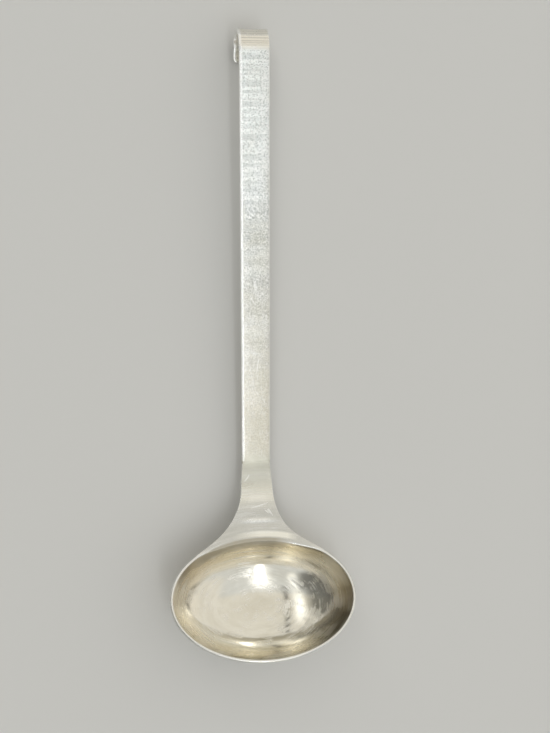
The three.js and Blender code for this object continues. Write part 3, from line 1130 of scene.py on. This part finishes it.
# %% Dome
COOL_SKY, WARM_SKY = (0.70, 0.71, 0.70), (0.78, 0.755, 0.69)
WARM_SIDE = (0.18, 0.28)
HORIZON, HORIZON_TONE = (0.10, 0.22), (0.85, 0.85, 0.83)
FOOT, FOOT_TONE = (0.0, 0.14), (0.56, 0.56, 0.54)
# Parts of the dome. Along x and along y of a direction, each rises between its first two numbers and falls
# between its last two. Then come its strength and its tone.
DOME_PARTS = {
    "warm right side": ((0.48, 0.56, 1.9, 2.0), (-0.5, -0.3, 0.45, 0.6), 1.0, (0.80, 0.775, 0.715)),
    "dim front": ((-2.0, -1.9, 1.9, 2.0), (-2.0, -1.9, -0.85, -0.65), 1.0, (0.42, 0.40, 0.35)),
    "dark left side": ((-2.0, -1.9, -0.62, -0.44), (-0.95, -0.7, 0.66, 0.82), 0.9, (0.14, 0.14, 0.125)),
    "dark left middle": ((-2.0, -1.9, -0.46, -0.34), (-0.60, -0.45, 0.0, 0.25), 0.85, (0.16, 0.16, 0.15)),
    "thin dark line": ((-0.185, -0.155, -0.135, -0.105), (0.0, 0.12, 0.98, 1.0), 0.95, (0.08, 0.08, 0.08)),
    "left strip": ((-0.50, -0.37, -0.32, -0.22), (0.0, 0.45, 0.65, 0.92), 1.0, (1.7, 1.7, 1.63)),
    "left strip in front": ((-0.38, -0.33, -0.29, -0.22), (-0.5, -0.3, 0.0, 0.2), 1.0, (1.4, 1.4, 1.36)),
    "halo": ((-0.06, 0.07, 0.11, 0.24), (-0.95, -0.50, -0.15, 0.35), 1.0, (1.15, 1.16, 1.15)),
    "right strip": ((0.045, 0.085, 0.10, 0.15), (-0.78, -0.50, -0.18, 0.16), 1.0, (6.4, 6.45, 6.42)),
}

world = bpy.data.worlds.new("studio_dome")
bpy.context.scene.world = world
world.use_nodes = True
sky = world.node_tree
toward = put(sky, "ShaderNodeTexCoord").outputs["Generated"]
axes = put(sky, "ShaderNodeSeparateXYZ", {0: toward}).outputs


def between(axis, rise_from, rise_to, fall_from, fall_to):
    rise = ranged(sky, axes[axis], rise_from, rise_to)
    return times(sky, rise, ranged(sky, axes[axis], fall_to, fall_from))


light = layered(sky, blend(sky, ranged(sky, axes["Y"], *WARM_SIDE), COOL_SKY, WARM_SKY), [
    (times(sky, between("X", *x_ramps), between("Y", *y_ramps)), strength, tone)
    for x_ramps, y_ramps, strength, tone in DOME_PARTS.values()
])
light = blend(sky, ranged(sky, axes["Z"], *HORIZON, 1.0, 0.0), light, HORIZON_TONE)
light = blend(sky, ranged(sky, axes["Z"], *FOOT, 1.0, 0.0), light, FOOT_TONE)
sky.links.new(light, sky.nodes["Background"].inputs["Color"])
print("dome of", len(DOME_PARTS), "parts")

# %% [markdown]
# ## The camera
# The camera looks almost straight down, a little from the left, as in the photograph. Its up direction is
# turned by less than a degree from the line of the handle. A Track To constraint would lose that small
# turn, so the camera's matrix is built from its three directions.

# %% Camera
CAMERA_PLACE = Vector((-115.51, 35.76, 705.89)) * MM
CAMERA_TARGET = Vector((12.55, -12.25, 0)) * MM
CAMERA_UP = Vector((0.01176, 1, 0))
CAMERA_LENS = 67.68
CAMERA_SENSOR = 36

camera_data = bpy.data.cameras.new("camera")
camera_data.lens = CAMERA_LENS
camera_data.sensor_width = CAMERA_SENSOR
camera = bpy.data.objects.new("camera", camera_data)
look = (CAMERA_TARGET - CAMERA_PLACE).normalized()
right = look.cross(CAMERA_UP).normalized()
up = right.cross(look)
camera.matrix_world = Matrix.Translation(CAMERA_PLACE) @ Matrix((right, up, -look)).transposed().to_4x4()
bpy.context.scene.collection.objects.link(camera)
bpy.context.scene.camera = camera
bpy.context.scene.view_settings.view_transform = "Standard"
print("camera looks along", look)

# %% [markdown]
# ## Size and finish
# The dressed ladle must stay inside the box of its solids.

# %%
import json
